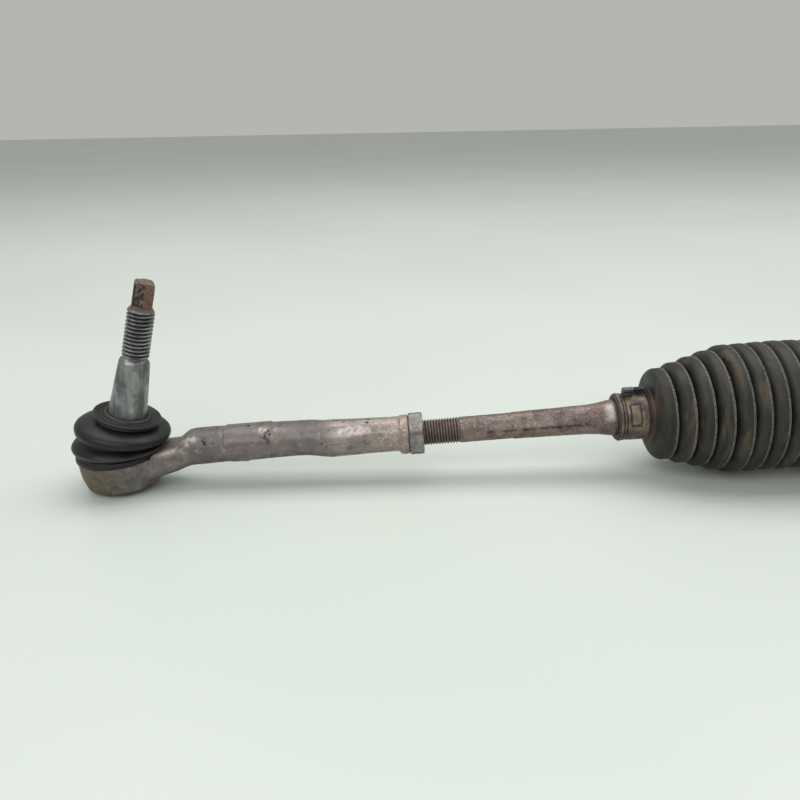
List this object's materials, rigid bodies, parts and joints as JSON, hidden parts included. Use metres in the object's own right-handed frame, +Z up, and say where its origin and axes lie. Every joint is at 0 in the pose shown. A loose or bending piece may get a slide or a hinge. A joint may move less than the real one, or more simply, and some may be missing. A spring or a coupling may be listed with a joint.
{
  "type": "rack and pinion",
  "caption": "Rack and pinion steering gear with bushed housing, sprung yoke, bellows, ball-jointed tie rods and threaded, booted outer tie rod ends.",
  "frame": {"origin": "midway between the two mounting-sleeve bores, on the mounting plane", "axes": "+X along the rack towards the right tie rod, +Z up from the mounting plane, +Y from the rack towards the mounting bores"},
  "size_m": [1.4174, 0.1166, 0.1157],
  "materials": {
    "cast_aluminium": "as-cast, dull",
    "ground_steel": "ground, oiled",
    "bearing_steel": "polished",
    "dark_steel": "blackened",
    "plated_steel": "zinc plated",
    "rod_steel": "brownish, speckled, light rust",
    "forged_steel": "forged, weathered grey",
    "nut_steel": "dull, worn",
    "stud_steel": "satin, rust on the hexagon",
    "band_steel": "rust-stained",
    "bellows_rubber": "dusty matt rubber",
    "boot_rubber": "semi-gloss rubber",
    "mount_rubber": "matt rubber",
    "seal_rubber": "matt rubber",
    "bush_polymer": "satin acetal",
    "liner_bronze": "dull bronze"
  },
  "bodies": {
    "housing": {"rack_housing": "cast_aluminium", "rack_bush": "bush_polymer", "needle_shell": "bearing_steel", "needle_rollers": "bearing_steel", "bearing_outer_race": "bearing_steel", "bearing_balls": "bearing_steel", "bearing_lock_ring": "dark_steel", "pinion_seal": "seal_rubber", "input_dust_cover": "seal_rubber", "yoke": "cast_aluminium", "yoke_liner": "liner_bronze", "yoke_o_ring": "seal_rubber", "yoke_spring": "dark_steel", "yoke_plug": "plated_steel", "yoke_locknut": "plated_steel", "mount_bush_left": "mount_rubber", "mount_bush_right": "mount_rubber", "mount_sleeve_left": "plated_steel", "mount_sleeve_right": "plated_steel", "stop_bumper_left": "mount_rubber", "stop_bumper_right": "mount_rubber", "bellows_left": "bellows_rubber", "bellows_right": "bellows_rubber", "bellows_clamp_large_left": "band_steel", "bellows_clamp_large_right": "band_steel"},
    "rack": {"rack_bar": "ground_steel", "inner_socket_left": "rod_steel", "inner_socket_right": "rod_steel"},
    "pinion": {"pinion": "ground_steel", "bearing_inner_race": "bearing_steel", "pinion_circlip": "dark_steel"},
    "inner_ball_left": {"inner_seat_left": "bush_polymer"},
    "tie_rod_left": {"tie_rod_left": "rod_steel", "bellows_clamp_small_left": "band_steel"},
    "rod_end_left": {"rod_end_left": "forged_steel", "jam_nut_left": "nut_steel", "outer_seat_left": "bush_polymer", "end_cap_left": "forged_steel", "dust_boot_left": "boot_rubber", "boot_ring_lower_left": "dark_steel"},
    "boot_collar_left": {"boot_ring_upper_left": "dark_steel"},
    "stud_left": {"ball_stud_left": "stud_steel"},
    "inner_ball_right": {"inner_seat_right": "bush_polymer"},
    "tie_rod_right": {"tie_rod_right": "rod_steel", "bellows_clamp_small_right": "band_steel"},
    "rod_end_right": {"rod_end_right": "forged_steel", "jam_nut_right": "nut_steel", "outer_seat_right": "bush_polymer", "end_cap_right": "forged_steel", "dust_boot_right": "boot_rubber", "boot_ring_lower_right": "dark_steel"},
    "boot_collar_right": {"boot_ring_upper_right": "dark_steel"},
    "stud_right": {"ball_stud_right": "stud_steel"}
  },
  "joints": [
    {"name": "rack_slide", "type": "slide", "parent": "housing", "child": "rack", "axis": [1, 0, 0], "range_m": [-0.07, 0.07], "deforming": ["bellows_left", "bellows_right"]},
    {"name": "pinion_spin", "type": "hinge", "parent": "housing", "child": "pinion", "pos_m": [0.11, -0.06139, 0.03288], "axis": [0, -0.2588, 0.9659], "range_deg": [-504.5, 504.5]},
    {"name": "tie_rod_swing_left", "type": "hinge", "parent": "rack", "child": "inner_ball_left", "pos_m": [-0.335, -0.046, 0.037], "axis": [0, 1, 0], "range_deg": [-16.53, 23.47]},
    {"name": "tie_rod_sweep_left", "type": "hinge", "parent": "inner_ball_left", "child": "tie_rod_left", "pos_m": [-0.335, -0.046, 0.037], "axis": [-0.0605, 0, 0.9982], "range_deg": [-8, 8]},
    {"name": "toe_adjust_left", "type": "slide", "parent": "tie_rod_left", "child": "rod_end_left", "axis": [-0.9982, 0, -0.0605], "range_m": [-0.008, 0.008]},
    {"name": "stud_tilt_left", "type": "hinge", "parent": "rod_end_left", "child": "boot_collar_left", "pos_m": [-0.68436, -0.046, 0.01581], "axis": [0, 1, 0], "range_deg": [-40.2, 3.8], "deforming": ["dust_boot_left"]},
    {"name": "stud_spin_left", "type": "hinge", "parent": "boot_collar_left", "child": "stud_left", "pos_m": [-0.68436, -0.046, 0.01581], "axis": [0.2542, 0, 0.9671], "continuous": true},
    {"name": "tie_rod_swing_right", "type": "hinge", "parent": "rack", "child": "inner_ball_right", "pos_m": [0.335, -0.046, 0.037], "axis": [0, -1, 0], "range_deg": [-16.53, 23.47]},
    {"name": "tie_rod_sweep_right", "type": "hinge", "parent": "inner_ball_right", "child": "tie_rod_right", "pos_m": [0.335, -0.046, 0.037], "axis": [-0.0605, 0, -0.9982], "range_deg": [-8, 8]},
    {"name": "toe_adjust_right", "type": "slide", "parent": "tie_rod_right", "child": "rod_end_right", "axis": [0.9982, 0, -0.0605], "range_m": [-0.008, 0.008]},
    {"name": "stud_tilt_right", "type": "hinge", "parent": "rod_end_right", "child": "boot_collar_right", "pos_m": [0.68436, -0.046, 0.01581], "axis": [0, -1, 0], "range_deg": [-40.2, 3.8], "deforming": ["dust_boot_right"]},
    {"name": "stud_spin_right", "type": "hinge", "parent": "boot_collar_right", "child": "stud_right", "pos_m": [0.68436, -0.046, 0.01581], "axis": [0.2542, 0, -0.9671], "continuous": true}
  ],
  "couplings": [
    {"joint": "pinion_spin", "follows": "rack_slide", "rad_per_m": -125.66}
  ]
}
